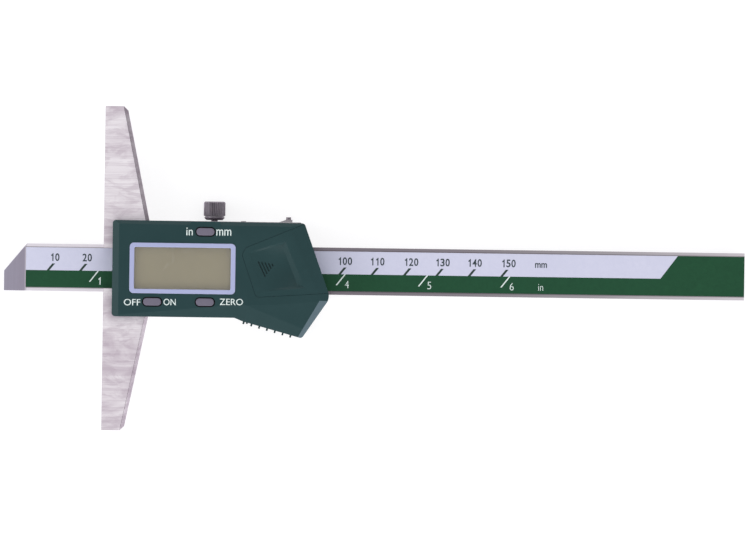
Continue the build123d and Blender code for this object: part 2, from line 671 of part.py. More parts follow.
# --------------------------------------------------------------- housing
# Moulded front: posts take the frame's screws, a deck under the battery cover
# has the battery's round hole, and a ribbed thumb rest hangs below the frame.
button_spots = {"button_in_mm": (in_mm_x, in_mm_y), "button_off_on": (off_on_x, off_on_y),
                "button_zero": (zero_x, zero_y)}
deck_front = ceiling - running_gap
deck_back = deck_front - deck_thickness
grip_edge = Vector(rest_tip_x - rest_knee_x, rest_tip_y - rest_knee_y, 0).normalized()
grip_angle = grip_edge.get_signed_angle(Vector(1, 0, 0), Vector(0, 0, -1))
window_length, window_width = view_length + 2 * window_border, view_width + 2 * window_border
with BuildPart() as housing:
    add(outer_form.part)
    with BuildSketch(Plane.XY.offset(base_front)):
        add(cavity_outline.sketch)
    extrude(amount=ceiling - base_front, mode=Mode.SUBTRACT)
    # roof openings: cover and its lip, display ring and window
    with BuildSketch(Plane.XY.offset(ceiling)):
        add(cover_outline.sketch)
    extrude(amount=housing_roof, mode=Mode.SUBTRACT)
    with BuildSketch(Plane.XY.offset(ceiling)):
        add(lip_outline.sketch)
        offset(amount=parting_gap, kind=Kind.INTERSECTION)
    extrude(amount=cover_lip_thickness + parting_gap, mode=Mode.SUBTRACT)
    with BuildSketch(Plane.XY.offset(ceiling)):
        add(cover_outline.sketch)
        add(cavity_outline.sketch, mode=Mode.SUBTRACT)
    extrude(amount=-cover_skirt - parting_gap, mode=Mode.SUBTRACT)
    with BuildSketch(Plane.XY.offset(housing_front)):
        with Locations((display_x, display_y)):
            RectangleRounded(ring_length + 2 * running_gap, ring_width + 2 * running_gap, ring_corner)
    extrude(amount=ring_proud - ring_height, mode=Mode.SUBTRACT)
    with BuildSketch(Plane.XY.offset(ceiling)):
        with Locations((display_x, display_y)):
            RectangleRounded(window_length + 2 * running_gap, window_width + 2 * running_gap, view_corner)
    extrude(amount=housing_roof, mode=Mode.SUBTRACT)
    # deck under the cover, with a rim that carries it from the roof
    with BuildSketch(Plane.XY.offset(deck_back)) as deck_outline:
        add(cover_outline.sketch)
        offset(amount=housing_wall)
        with BuildSketch(mode=Mode.INTERSECT):
            add(cavity_outline.sketch)
            offset(amount=-parting_gap)
    extrude(amount=deck_thickness)
    with BuildSketch(Plane.XY.offset(deck_back)):
        add(cover_outline.sketch)
        offset(amount=housing_wall)
        add(cavity_outline.sketch, mode=Mode.INTERSECT)
        add(cover_outline.sketch, mode=Mode.SUBTRACT)
    extrude(amount=ceiling - deck_back)
    with BuildSketch(Plane.XY.offset(deck_back)):
        with Locations((battery_x, battery_y)):
            Circle(battery_diameter / 2 + 3 * parting_gap)
    extrude(amount=deck_thickness, mode=Mode.SUBTRACT)
    with Locations(*[place * Pos(-cover_rail_length / 2 - parting_gap, 0, 0) for place in rail_places]):
        Box(2 * cover_rail_length, cover_rail_width + 2 * parting_gap, 2 * deck_thickness + parting_gap,
            align=(Align.MIN, Align.CENTER, Align.CENTER), mode=Mode.SUBTRACT)
    # thumb rest behind the front of the base, hollow from the back
    with BuildSketch(Plane.XY.offset(base_front)):
        add(housing_outline.sketch)
        with Locations((rest_start_x, housing_bottom - running_gap)):
            Rectangle(2 * nose_x, nose_x, align=(Align.MIN, Align.MAX), mode=Mode.INTERSECT)
    extrude(amount=-rest_skirt_depth)
    with BuildSketch(Plane.XY.offset(base_front - rest_skirt_depth)):
        add(sharp_outline.sketch)
        with Locations((rest_start_x, housing_bottom)):
            Rectangle(2 * nose_x, nose_x, align=(Align.MIN, Align.MAX), mode=Mode.INTERSECT)
        offset(amount=-housing_wall, kind=Kind.INTERSECTION)
    extrude(amount=rest_skirt_depth + rest_pocket_roof, mode=Mode.SUBTRACT)
    for step, height in [(rib_first + i * rib_pitch, rib_height) for i in range(rib_count)] + [
            (rib_first + half_rib_step, half_rib_height)]:
        with Locations(Location((rest_knee_x + step * grip_edge.X, rest_knee_y + step * grip_edge.Y,
                                 base_front - rest_skirt_depth), (0, 0, grip_angle))):
            Box(rib_width, 2 * height, rest_skirt_depth + rib_top,
                align=(Align.CENTER, Align.CENTER, Align.MIN))
    # walls that close the ends above the beam
    with Locations((housing_left, 0, base_front)):
        Box(housing_wall, 2 * (window_half - parting_gap), base_front - label_front - sensor_gap,
            align=(Align.MIN, Align.CENTER, Align.MAX))
    with BuildSketch(Plane.XY.offset(base_front)):
        with BuildLine():
            end_gap = parting_gap - frame_inset
            Polyline((right_edge(housing_top) + end_gap, housing_top), (nose_x + end_gap, nose_y),
                     (low_right[0] + end_gap, low_right[1]),
                     (rest_edge(housing_bottom) + end_gap, housing_bottom),
                     (2 * nose_x, housing_bottom), (2 * nose_x, housing_top), close=True)
        make_face()
        add(housing_outline.sketch, mode=Mode.INTERSECT)
    extrude(amount=label_front + sensor_gap - base_front)
    # posts for the frame's screws
    with BuildSketch(Plane.XY.offset(base_front)):
        with Locations(*frame_spots):
            Circle(post_diameter / 2)
    extrude(until=Until.NEXT)
    with Locations(*[(x, y, base_front) for x, y in frame_spots]):
        Cylinder(frame_screw_diameter / 2, frame_screw_bite, mode=Mode.SUBTRACT,
                 align=(Align.CENTER, Align.CENTER, Align.MIN))
    # holes for the buttons
    with BuildSketch(Plane.XY.offset(ceiling)):
        with Locations(*button_spots.values()):
            SlotOverall(button_length + 2 * button_gap, button_width + 2 * button_gap)
    extrude(amount=housing_roof, mode=Mode.SUBTRACT)
save(housing.part, "housing")
save(back_screws(frame_spots, base_back + frame_screw_sunk, frame_screw_head,
                 frame_screw_head_height - frame_screw_sunk, frame_screw_diameter,
                 base_thickness - frame_screw_sunk + frame_screw_bite, False), "housing_screws")

# ---------------------------------------------------------------- buttons
# Hard caps on the board's domes: each has a flange under the roof.
dome_top = board_front + dome_height
for name, (x, y) in button_spots.items():
    with BuildPart() as button:
        with BuildSketch(Plane.XY.offset(ceiling - running_gap)):
            with Locations((x, y)):
                SlotOverall(button_length, button_width)
        extrude(amount=housing_roof + running_gap + button_proud)
        fillet(button.faces().sort_by(Axis.Z)[-1].edges(), button_proud)
        with BuildSketch(Plane.XY.offset(ceiling - running_gap)):
            with Locations((x, y)):
                SlotOverall(button_length + 2 * button_gap + 2 * flange_overlap,
                            button_width + 2 * button_gap + 2 * flange_overlap)
        extrude(amount=-flange_thickness)
        with BuildSketch(Plane.XY.offset(dome_top + button_travel + press_gap)):
            with Locations((x, y)):
                Circle(dome_diameter / 2 - flange_overlap)
        extrude(until=Until.NEXT)
    save(button.part, name)
with BuildPart() as key_domes:
    for x, y in button_spots.values():
        with BuildSketch(Plane.XY.offset(board_front)):
            with Locations((x, y)):
                Circle(dome_diameter / 2)
        extrude(amount=dome_height, taper=dome_taper)
save(key_domes.part, "key_domes")

# ---------------------------------------------------------------- display
# From the front: moulded ring, clear window, liquid crystal glass in a holder,
# and two rubber strips that join the glass to the board.
ring_front = housing_front + ring_proud
with BuildPart() as display_frame:
    with BuildSketch(Plane.XY.offset(ring_front - ring_height)):
        with Locations((display_x, display_y)):
            RectangleRounded(ring_length, ring_width, ring_corner)
            RectangleRounded(view_length, view_width, view_corner, mode=Mode.SUBTRACT)
    extrude(amount=ring_height)
save(display_frame.part, "display_frame")
with BuildPart() as lcd_window:
    with BuildSketch(Plane.XY.offset(ring_front - ring_height - window_thickness)):
        with Locations((display_x, display_y)):
            RectangleRounded(window_length, window_width, view_corner)
    extrude(amount=window_thickness)
save(lcd_window.part, "lcd_window")
lcd_front = ring_front - ring_height - window_thickness - running_gap
lcd_back = lcd_front - lcd_thickness
lcd_length, lcd_width = view_length + 2 * lcd_margin, view_width + 2 * lcd_margin
with BuildPart() as lcd_panel:
    with Locations((display_x, display_y, lcd_back)):
        Box(lcd_length, lcd_width, lcd_thickness, align=(Align.CENTER, Align.CENTER, Align.MIN))
save(lcd_panel.part, "lcd_panel")
ledge_length, ledge_width = lcd_length - 2 * holder_ledge, lcd_width - 2 * holder_ledge
with BuildPart() as lcd_holder:
    with Locations((display_x, display_y, board_front)):
        Box(lcd_length + 2 * holder_wall, lcd_width + 2 * holder_wall,
            lcd_back + holder_rim - board_front, align=(Align.CENTER, Align.CENTER, Align.MIN))
        Box(ledge_length, ledge_width, lcd_back - board_front, mode=Mode.SUBTRACT,
            align=(Align.CENTER, Align.CENTER, Align.MIN))
    with Locations((display_x, display_y, lcd_back)):
        Box(lcd_length + 2 * running_gap, lcd_width + 2 * running_gap, lcd_thickness,
            mode=Mode.SUBTRACT, align=(Align.CENTER, Align.CENTER, Align.MIN))
save(lcd_holder.part, "lcd_holder")
with BuildPart() as zebra_strips:
    for side in (-1, 1):
        with Locations((display_x, display_y + side * (ledge_width - zebra_width) / 2, board_front)):
            Box(ledge_length - 2 * holder_ledge, zebra_width, lcd_back - board_front,
                align=(Align.CENTER, Align.CENTER, Align.MIN))
save(zebra_strips.part, "zebra_strips")

# ---------------------------------------------------------- circuit board
# It lies on the frame and the base; the sensor hangs below it, just above the
# label, through the frame's window.
with BuildPart() as circuit_board:
    with BuildSketch(Plane.XY.offset(base_front)):
        add(cavity_outline.sketch)
        offset(amount=-board_edge_gap, kind=Kind.INTERSECTION)
        Rectangle(board_right, base_length, align=(Align.MIN, Align.CENTER), mode=Mode.INTERSECT)
        with Locations(*frame_spots):
            Circle(post_diameter / 2 + parting_gap, mode=Mode.SUBTRACT)
        with Locations(*board_screw_spots):
            Circle(board_screw_diameter / 2, mode=Mode.SUBTRACT)
    extrude(amount=board_thickness)
save(circuit_board.part, "circuit_board")
with BuildPart() as board_screws:
    with Locations(*[(x, y, board_front) for x, y in board_screw_spots]):
        Cylinder(board_screw_head / 2, board_screw_head_height,
                 align=(Align.CENTER, Align.CENTER, Align.MIN))
        Cylinder(board_screw_diameter / 2, board_thickness + board_screw_bite,
                 align=(Align.CENTER, Align.CENTER, Align.MAX))
    with Locations(*[(x, y, board_front + board_screw_head_height) for x, y in board_screw_spots]):
        for turn in (0, 90):
            Box(cross_length * board_screw_head, slot_width, slot_depth, rotation=(0, 0, turn),
                align=(Align.CENTER, Align.CENTER, Align.MAX), mode=Mode.SUBTRACT)
save(board_screws.part, "board_screws")
with BuildPart() as sensor_board:
    with Locations((sensor_start, 0, base_front)):
        Box(sensor_length, 2 * (window_half - parting_gap), base_front - label_front - sensor_gap,
            align=(Align.MIN, Align.CENTER, Align.MAX))
save(sensor_board.part, "sensor_board")
with BuildPart() as controller_chip:
    with BuildSketch(Plane.XY.offset(board_front)):
        with Locations((display_x, display_y)):
            Circle(chip_diameter / 2)
    extrude(amount=chip_height, taper=chip_taper)
save(controller_chip.part, "controller_chip")
with BuildPart() as timing_crystal:
    crystal_x = display_x + ledge_length / 2 - crystal_diameter
    with Locations(Location((crystal_x, display_y, board_front + crystal_diameter / 2), (90, 0, 0))):
        Cylinder(crystal_diameter / 2, crystal_length)
save(timing_crystal.part, "timing_crystal")

# ---------------------------------------------------------------- battery
# SR44 cell, cap down on a flat contact; a leaf touches its side. A round tray
# stands on the board and holds it.
battery_back = board_front + contact_thickness
with BuildPart() as battery:
    with Locations((battery_x, battery_y, battery_back)):
        Cylinder(battery_cap_diameter / 2, battery_cap_height,
                 align=(Align.CENTER, Align.CENTER, Align.MIN))
    with Locations((battery_x, battery_y, battery_back + battery_cap_height)):
        Cylinder(battery_diameter / 2, battery_height - battery_cap_height,
                 align=(Align.CENTER, Align.CENTER, Align.MIN))
    fillet(battery.edges().filter_by(GeomType.CIRCLE).group_by(Axis.Z)[-1], battery_edge)
save(battery.part, "battery")
leaf_x = battery_x - battery_diameter / 2
with BuildPart() as battery_tray:
    with BuildSketch(Plane.XY.offset(board_front)):
        with Locations((battery_x, battery_y)):
            Circle(battery_diameter / 2 + running_gap + tray_wall)
            Circle(battery_diameter / 2 + running_gap, mode=Mode.SUBTRACT)
        with Locations((leaf_x, battery_y)):
            Rectangle(2 * contact_width, contact_width + 2 * parting_gap, mode=Mode.SUBTRACT)
    extrude(amount=tray_height)
save(battery_tray.part, "battery_tray")
with BuildPart() as battery_contact_negative:
    with Locations((battery_x, battery_y, board_front)):
        Box(contact_length, contact_width, contact_thickness,
            align=(Align.CENTER, Align.CENTER, Align.MIN))
save(battery_contact_negative.part, "battery_contact_negative")
with BuildPart() as battery_contact_positive:
    with Locations((leaf_x, battery_y, board_front)):
        Box(contact_thickness, contact_width, tray_height,
            align=(Align.MAX, Align.CENTER, Align.MIN))
        Box(contact_width, contact_width, contact_thickness,
            align=(Align.MAX, Align.CENTER, Align.MIN))
save(battery_contact_positive.part, "battery_contact_positive")
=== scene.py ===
"""Looks of a digital depth gauge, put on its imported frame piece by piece.

+X runs along the beam to its far end, +Y along the base towards the lock
screw, +Z out of the display. Blender's lengths are metres: MM turns a size in
millimetres into metres. Grains and patches are given as repeats per metre.
"""
import json
from math import radians

import bmesh
import bpy
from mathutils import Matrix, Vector

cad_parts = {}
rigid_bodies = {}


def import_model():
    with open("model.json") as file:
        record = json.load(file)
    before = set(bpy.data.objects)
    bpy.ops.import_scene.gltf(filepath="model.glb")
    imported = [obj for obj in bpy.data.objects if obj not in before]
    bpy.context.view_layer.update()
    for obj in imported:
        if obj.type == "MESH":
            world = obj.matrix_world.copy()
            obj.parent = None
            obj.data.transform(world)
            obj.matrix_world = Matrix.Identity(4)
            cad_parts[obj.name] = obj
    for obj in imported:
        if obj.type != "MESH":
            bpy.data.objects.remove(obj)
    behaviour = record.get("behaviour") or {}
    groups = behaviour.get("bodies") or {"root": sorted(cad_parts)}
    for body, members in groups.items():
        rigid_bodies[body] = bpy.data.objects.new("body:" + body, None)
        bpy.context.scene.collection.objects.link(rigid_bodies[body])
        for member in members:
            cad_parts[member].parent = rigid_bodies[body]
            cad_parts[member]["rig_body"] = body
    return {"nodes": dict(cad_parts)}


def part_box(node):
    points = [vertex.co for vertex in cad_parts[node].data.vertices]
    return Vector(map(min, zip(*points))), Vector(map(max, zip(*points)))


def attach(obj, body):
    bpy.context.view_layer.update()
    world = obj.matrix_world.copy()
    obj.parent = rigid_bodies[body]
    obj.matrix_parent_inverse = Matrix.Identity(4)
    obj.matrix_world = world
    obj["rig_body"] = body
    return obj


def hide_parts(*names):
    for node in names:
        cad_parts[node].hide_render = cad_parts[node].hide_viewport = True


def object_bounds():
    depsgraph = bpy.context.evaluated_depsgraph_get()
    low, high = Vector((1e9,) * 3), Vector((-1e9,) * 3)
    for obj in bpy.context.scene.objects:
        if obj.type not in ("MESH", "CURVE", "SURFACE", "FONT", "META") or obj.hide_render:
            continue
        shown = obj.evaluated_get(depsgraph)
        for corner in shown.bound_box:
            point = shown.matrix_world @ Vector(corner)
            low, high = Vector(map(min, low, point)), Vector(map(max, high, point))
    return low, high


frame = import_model()
cad_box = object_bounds()
MM = 0.001

# ---------------------------------------------------------------------- base
# Hardened stainless base, 100 mm long and 6.7 mm thick, ground on every side.
# Fine wheel marks run along X, and handling has left dull patches on it.
BASE_ROUNDING = 0.3 * MM
WHITE = (1.0, 1.0, 1.0, 1.0)
# How far up a face looks, and how much of the flat's brightness it keeps there, as painted shade
# on the bevels.
BASE_BEVEL_SHADE = ((0.3, 1.0), (0.5, 0.5), (0.74, 0.46), (0.8, 0.08), (0.975, 0.1), (0.995, 1.0))


def seen(red, green, blue):
    """A colour as a picture has it, 0 to 255, in Blender's light values."""
    parts = [part / 255 for part in (red, green, blue)]
    light = [p / 12.92 if p <= 0.04045 else ((p + 0.055) / 1.055) ** 2.4 for p in parts]
    return (*light, 1.0)


def node(tree, kind, sockets=None, **settings):
    """A shader node with its settings made and its sockets filled or joined."""
    made = tree.nodes.new(kind)
    for setting, value in settings.items():
        setattr(made, setting, value)
    for socket, value in (sockets or {}).items():
        if isinstance(value, bpy.types.NodeSocket):
            tree.links.new(value, made.inputs[socket])
        else:
            made.inputs[socket].default_value = value
    return made


def own(tree, coordinates="Object"):
    """A point's place on the piece (Object), its facing (Normal), or a way into the sky
    (Generated)."""
    return node(tree, "ShaderNodeTexCoord").outputs[coordinates]


def parted(tree, coordinates="Object"):
    """The X, Y and Z of the same."""
    return node(tree, "ShaderNodeSeparateXYZ", {0: own(tree, coordinates)}).outputs


def reckoned(tree, operation, *values, clamped=False):
    """Arithmetic on values that may change over the surface."""
    return node(tree, "ShaderNodeMath", dict(enumerate(values)), operation=operation,
                use_clamp=clamped).outputs[0]


def between(tree, value, low, high):
    """How far a value is on its way from low to high, as 0 to 1."""
    return node(tree, "ShaderNodeMapRange",
                {"Value": value, "From Min": low, "From Max": high}).outputs[0]


def ranged(tree, value, low, high):
    """A 0 to 1 value spread between two others."""
    return node(tree, "ShaderNodeMapRange",
                {"Value": value, "To Min": low, "To Max": high}).outputs[0]


def mixed(tree, share, first, second, how="MIX"):
    """Two colours mixed by a share that may change over the surface."""
    return node(tree, "ShaderNodeMix", {0: share, 6: first, 7: second}, data_type="RGBA",
                blend_type=how).outputs[2]


def merged(tree, share, first, second):
    """Two values mixed in the same way."""
    return node(tree, "ShaderNodeMix", {0: share, 2: first, 3: second}).outputs[0]


def toned(tree, value, stops):
    """A colour that runs through stops as a value goes from 0 to 1. A stop is a place and
    a colour, with the first at 0 and the last at 1."""
    ramp = node(tree, "ShaderNodeValToRGB", {0: value})
    made = ramp.color_ramp.elements
    made[0].color, made[-1].color = stops[0][1], stops[-1][1]
    for where, colour in stops[1:-1]:
        made.new(where).color = colour
    return ramp.outputs[0]


def bumped(tree, height, depth):
    """The normal of a surface whose relief is depth metres deep."""
    return node(tree, "ShaderNodeBump",
                {"Strength": 1.0, "Distance": depth, "Height": height}).outputs[0]


def effect(name, inputs, outputs):
    """An empty group for an effect that several finishes share, with the sockets that it
    is given and those that it shows."""
    group = bpy.data.node_groups.new(name, "ShaderNodeTree")
    for socket, kind, value in inputs:
        made = group.interface.new_socket(socket, in_out="INPUT",
                                          socket_type="NodeSocket" + kind)
        made.default_value = value
    for socket in outputs:
        group.interface.new_socket(socket, in_out="OUTPUT", socket_type="NodeSocketFloat")
    given = group.nodes.new("NodeGroupInput").outputs
    shown = group.nodes.new("NodeGroupOutput").inputs
    return group, given, shown


def grain_effect():
    """Long fine marks of a wheel or belt. Repeats stretches them along the piece."""
    group, given, shown = effect("wheel_grain", [("Repeats", "Vector", (60, 4000, 4000))],
                                 ["Shade", "Height"])
    drawn = node(group, "ShaderNodeVectorMath", {0: own(group), 1: given["Repeats"]},
                 operation="MULTIPLY").outputs[0]
    fine = node(group, "ShaderNodeTexNoise",
                {"Vector": drawn, "Scale": 1.0, "Detail": 4.0, "Roughness": 0.7}).outputs[0]
    broad = node(group, "ShaderNodeTexNoise",
                 {"Vector": drawn, "Scale": 0.23, "Detail": 2.0}).outputs[0]
    both = merged(group, 0.4, fine, broad)
    group.links.new(between(group, both, 0.32, 0.68), shown["Shade"])
    group.links.new(fine, shown["Height"])
    return group


def patch_effect():
    """Cloudy patches, as dull spots, smears and uneven colour, from 0 to 1. Edge is how
    softly they end, and Stretch is smaller along the way that they are drawn out."""
    group, given, shown = effect("patches", [("Repeats", "Float", 60.0), ("Edge", "Float", 0.2),
                                             ("Stretch", "Vector", (1, 1, 1))], ["Mask"])
    drawn = node(group, "ShaderNodeVectorMath", {0: own(group), 1: given["Stretch"]},
                 operation="MULTIPLY").outputs[0]
    cloud = node(group, "ShaderNodeTexNoise",
                 {"Vector": drawn, "Scale": given["Repeats"], "Detail": 5.0, "Roughness": 0.6,
                  "Distortion": 0.8}).outputs[0]
    low = reckoned(group, "SUBTRACT", 0.5, given["Edge"])
    high = reckoned(group, "ADD", 0.5, given["Edge"])
    group.links.new(between(group, cloud, low, high), shown["Mask"])
    return group


def wear_effect():
    """Where a surface turns, from 0 at 6 degrees to 1 at 32: corners that hands and benches rub,
    and the buttons' rims, which take painted shade."""
    group, given, shown = effect("edge_wear_and_shade", [("Width", "Float", 0.3 * MM)], ["Mask"])
    turned = node(group, "ShaderNodeBevel", {"Radius": given["Width"]}, samples=4).outputs[0]
    true = node(group, "ShaderNodeNewGeometry").outputs["Normal"]
    alike = node(group, "ShaderNodeVectorMath", {0: turned, 1: true},
                 operation="DOT_PRODUCT").outputs["Value"]
    group.links.new(between(group, alike, 0.995, 0.85), shown["Mask"])
    return group


wheel_grain, patches, edge_wear_and_shade = grain_effect(), patch_effect(), wear_effect()


def grained(tree, repeats):
    """The wheel's marks in a material, as a shade and a height."""
    return node(tree, "ShaderNodeGroup", {"Repeats": repeats}, node_tree=wheel_grain).outputs


def patchy(tree, repeats, edge, stretch=(1, 1, 1)):
    """The cloudy patches in a material, as a mask."""
    return node(tree, "ShaderNodeGroup", {"Repeats": repeats, "Edge": edge, "Stretch": stretch},
                node_tree=patches).outputs[0]


def corners_of(tree, width):
    """The corners of a piece in its material, as a mask."""
    return node(tree, "ShaderNodeGroup", {"Width": width}, node_tree=edge_wear_and_shade).outputs[0]


def finish(name, metallic=0.0, roughness=0.5):
    """A new material with its tree and its Principled shader."""
    made = bpy.data.materials.new(name)
    made.use_nodes = True
    shader = made.node_tree.nodes["Principled BSDF"]
    shader.inputs["Metallic"].default_value = metallic
    shader.inputs["Roughness"].default_value = roughness
    return made, made.node_tree, shader


def give(tree, shader, **values):
    """Joins or fills the shader's sockets: Base_Color stands for Base Color."""
    for socket, value in values.items():
        place = shader.inputs[socket.replace("_", " ")]
        if isinstance(value, bpy.types.NodeSocket):
            tree.links.new(value, place)
        else:
            place.default_value = value


def overlaid(made, share, colour, how="MIX"):
    """Lays a colour over a material's own, by a share that may change over the surface."""
    tree, shader = made.node_tree, made.node_tree.nodes["Principled BSDF"]
    under = shader.inputs["Base Color"].links[0].from_socket
    give(tree, shader, Base_Color=mixed(tree, share, under, colour, how))
    return made


def steel(name, bright, dull, repeats, rough=(0.3, 0.42), depth=0.003 * MM, spots=70.0,
          spotted=0.5, clean=0.0, drawn=(1, 1, 1)):
    """Ground or turned steel: grain, dull patches and freckles on it, and bright wear on its
    corners. Spots is the patches' repeats and spotted their strength. Clean keeps more of the
    steel free of them, and drawn stretches them."""
    made, tree, shader = finish(name, metallic=1.0)
    grain = grained(tree, repeats)
    patch = patchy(tree, spots, edge=0.14, stretch=drawn)
    freckle = patchy(tree, 4 * spots, edge=0.1, stretch=drawn)
    clouded = mixed(tree, ranged(tree, patch, -clean, spotted), bright, dull)
    freckled = mixed(tree, ranged(tree, freckle, -clean, 0.6 * spotted), clouded, dull)
    lined = mixed(tree, ranged(tree, grain["Shade"], -clean, 0.4), freckled, dull)
    edge_mask = ranged(tree, corners_of(tree, 0.25 * MM), 0.0, 0.5)
    give(tree, shader, Base_Color=mixed(tree, edge_mask, lined, seen(245, 242, 246)),
         Roughness=ranged(tree, patch, *rough), Normal=bumped(tree, grain["Height"], depth))
    return made


def placed(name, data):
    """A mesh, a line of type, a lamp or a camera, put in the scene."""
    made = bpy.data.objects.new(name, data)
    bpy.context.scene.collection.objects.link(made)
    return made


def meshed(form, name, *materials):
    """The mesh of a finished form, with its materials."""
    mesh = bpy.data.meshes.new(name)
    form.to_mesh(mesh)
    form.free()
    for material in materials:
        mesh.materials.append(material)
    return mesh


SAME_POINT, SAME_PLANE, CREASE = 0.001 * MM, radians(0.3), radians(3)


def dressed(name, material, radius, corner=28, broad=2.5):
    """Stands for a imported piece: its own shape with whole flat faces, its corners rounded
    by radius, and its finish. A corner turns by more than so many degrees, or is a slight
    crease between faces that are both over broad square millimetres."""
    source = frame["nodes"][name]
    form = bmesh.new()
    form.from_mesh(source.data)
    bmesh.ops.remove_doubles(form, verts=form.verts, dist=SAME_POINT)
    bmesh.ops.dissolve_limit(form, angle_limit=SAME_PLANE, verts=form.verts, edges=form.edges)
    weights = form.edges.layers.float.new("bevel_weight_edge")
    for edge in form.edges:
        turn = edge.calc_face_angle(0.0)
        smaller = min(face.calc_area() for face in edge.link_faces)
        creased = turn > CREASE and smaller > broad * MM ** 2
        if turn > radians(corner) or creased:
            edge[weights] = 1.0
    for face in form.faces:
        face.smooth = True
    mesh = meshed(form, name + "_surface", material)
    if "custom_normal" in mesh.attributes:
        mesh.attributes.remove(mesh.attributes["custom_normal"])
    piece = placed(name + "_surface", mesh)
    rounding = piece.modifiers.new("rounded_corners", "BEVEL")
    rounding.limit_method = "WEIGHT"
    rounding.width = radius
    rounding.segments = 3
    rounding.harden_normals = True
    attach(piece, source["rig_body"])
    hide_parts(name)


def base_finish():
    """The base's steel, with painted shade on its bevels: darker than the flat, and a painted
    dark line where they begin."""
    made = steel("base_steel", seen(255, 250, 255), seen(180, 162, 178), (70, 3400, 3400),
                 spots=85.0, spotted=0.55, clean=0.2, drawn=(0.42, 1, 1))
    tree = made.node_tree
    painted_tones = [(where, (shade, 0.95 * shade, shade, 1)) for where, shade in BASE_BEVEL_SHADE]
    bevel_shade = toned(tree, parted(tree, "Normal")["Z"], [(0.0, WHITE), *painted_tones, (1.0, WHITE)])
    return overlaid(made, 1.0, bevel_shade, "MULTIPLY")


dressed("base", base_finish(), BASE_ROUNDING)

# --------------------------------------------- frame, its screws and the gib
# The slider's steel body behind the housing, belt ground along the beam, with
# turned screws in its back. Two set screws in its top edge bear on a brass
# gib strip, which takes up the beam's play.
frame_steel = steel("frame_steel", seen(186, 182, 186), seen(146, 141, 148),
                    (45, 3600, 3600), spots=90.0)
screw_steel = steel("screw_steel", seen(150, 142, 150), seen(98, 92, 99),
                    (2500, 2500, 300), rough=(0.3, 0.5), spots=400.0)
gib_brass = steel("gib_brass", seen(214, 186, 120), seen(176, 145, 84),
                  (80, 3000, 3000), spots=120.0)
SCREW_ROUNDING = 0.05 * MM


def finished(material, *names):
    """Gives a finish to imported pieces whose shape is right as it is."""
    for name in names:
        frame["nodes"][name].material_slots[0].material = material


dressed("slider_frame", frame_steel, 0.1 * MM)
for name in ("base_screws", "housing_screws", "board_screws", "gib_screw_front",
             "gib_screw_rear"):
    dressed(name, screw_steel, SCREW_ROUNDING)
finished(gib_brass, "gib")

# ---------------------------------------------------------------- lock screw
# Dark steel thumb screw: a straight-knurled head on a tapered collar and a
# thin neck, turned in one piece. It presses the gib on the beam.
knob_steel = steel("knob_steel", seen(125, 116, 128), seen(79, 71, 82), (3500, 60, 3500),
                   rough=(0.34, 0.5), depth=0.006 * MM, spots=300.0)
dressed("lock_screw", knob_steel, SCREW_ROUNDING, corner=40, broad=50)

# ------------------------------------------------------- beam and stop plate
# Ground steel bar, polished across at its tip and along elsewhere, with a stop plate screwed to
# its back. Its front shows as a narrow margin on both sides of the scale's film, with painted
# light and shade along its length and a painted dark line of shade where the film ends.
BEAM_LOWEST, BEAM_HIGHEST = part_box("beam")
TIP_END = -23.95 * MM           # where the tip's bevel meets the front
FRONT_SKIN = 0.15 * MM          # how deep the front's tones go, past its rounded corners
FILM_EDGE_SHADE_WIDTH = 0.25 * MM
# The front's tones from the tip to the far end, by shares of the beam's length: a darker tip, a
# painted pale highlight on the tip's step, painted light before the base, and painted shade
# darkest where it leaves the housing.
BEAM_PAINTED_TONES = ((0.0, seen(170, 166, 184)), (0.0275, seen(166, 160, 177)),
              (0.0288, seen(240, 214, 222)), (0.0305, seen(248, 244, 252)),
              (0.16, seen(244, 238, 247)), (0.42, seen(129, 122, 130)),
              (0.62, seen(147, 141, 148)), (0.8, seen(174, 170, 175)),
              (1.0, seen(226, 220, 226)))


def beam_finish():
    """Beam steel. Its grain changes at the tip; its front carries painted light and shade along
    its length and a painted dark line of shade where the film ends.
    """
    made, tree, shader = finish("beam_steel", metallic=1.0)
    along, sideways, upward = parted(tree)
    tip = reckoned(tree, "LESS_THAN", along, TIP_END)
    front = reckoned(tree, "GREATER_THAN", upward, BEAM_HIGHEST.z - FRONT_SKIN)
    tip_or_front = reckoned(tree, "MAXIMUM", front, tip)
    lengthways, across = grained(tree, (50, 4200, 4200)), grained(tree, (3600, 60, 3600))
    shade, height = [merged(tree, tip, lengthways[mark], across[mark])
                     for mark in ("Shade", "Height")]
    spot = patchy(tree, 160.0, edge=0.16)
    length = between(tree, along, BEAM_LOWEST.x, BEAM_HIGHEST.x)
    painted_tones = mixed(tree, tip_or_front, seen(196, 191, 198), toned(tree, length, BEAM_PAINTED_TONES))
    lined = mixed(tree, ranged(tree, shade, 0.0, 0.15), painted_tones, seen(108, 101, 112))
    clouded = mixed(tree, ranged(tree, spot, 0.0, 0.08), lined, seen(120, 112, 122))
    edge_mask = ranged(tree, corners_of(tree, 0.2 * MM), 0.0, 0.45)
    edge_toned = mixed(tree, edge_mask, clouded, seen(240, 236, 241))
    # Painted shade: a dark line along both long edges of the film on the front, past the tip.
    film_edges = [reckoned(tree, "COMPARE", sideways, corner.y, FILM_EDGE_SHADE_WIDTH)
                  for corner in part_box("scale_label")]
    film_edge_shade = reckoned(tree, "MAXIMUM", *film_edges)
    past_tip = reckoned(tree, "SUBTRACT", film_edge_shade, tip, clamped=True)
    in_front = reckoned(tree, "MULTIPLY", past_tip, front)
    edge_shaded = mixed(tree, ranged(tree, in_front, 0.0, 0.6), edge_toned, seen(70, 60, 70))
    give(tree, shader, Base_Color=edge_shaded, Roughness=ranged(tree, spot, 0.28, 0.42),
         Normal=bumped(tree, height, 0.003 * MM))
    return made


dressed("beam", beam_finish(), 0.1 * MM)
dressed("stop_plate", frame_steel, 0.12 * MM)
dressed("stop_screws", screw_steel, SCREW_ROUNDING)

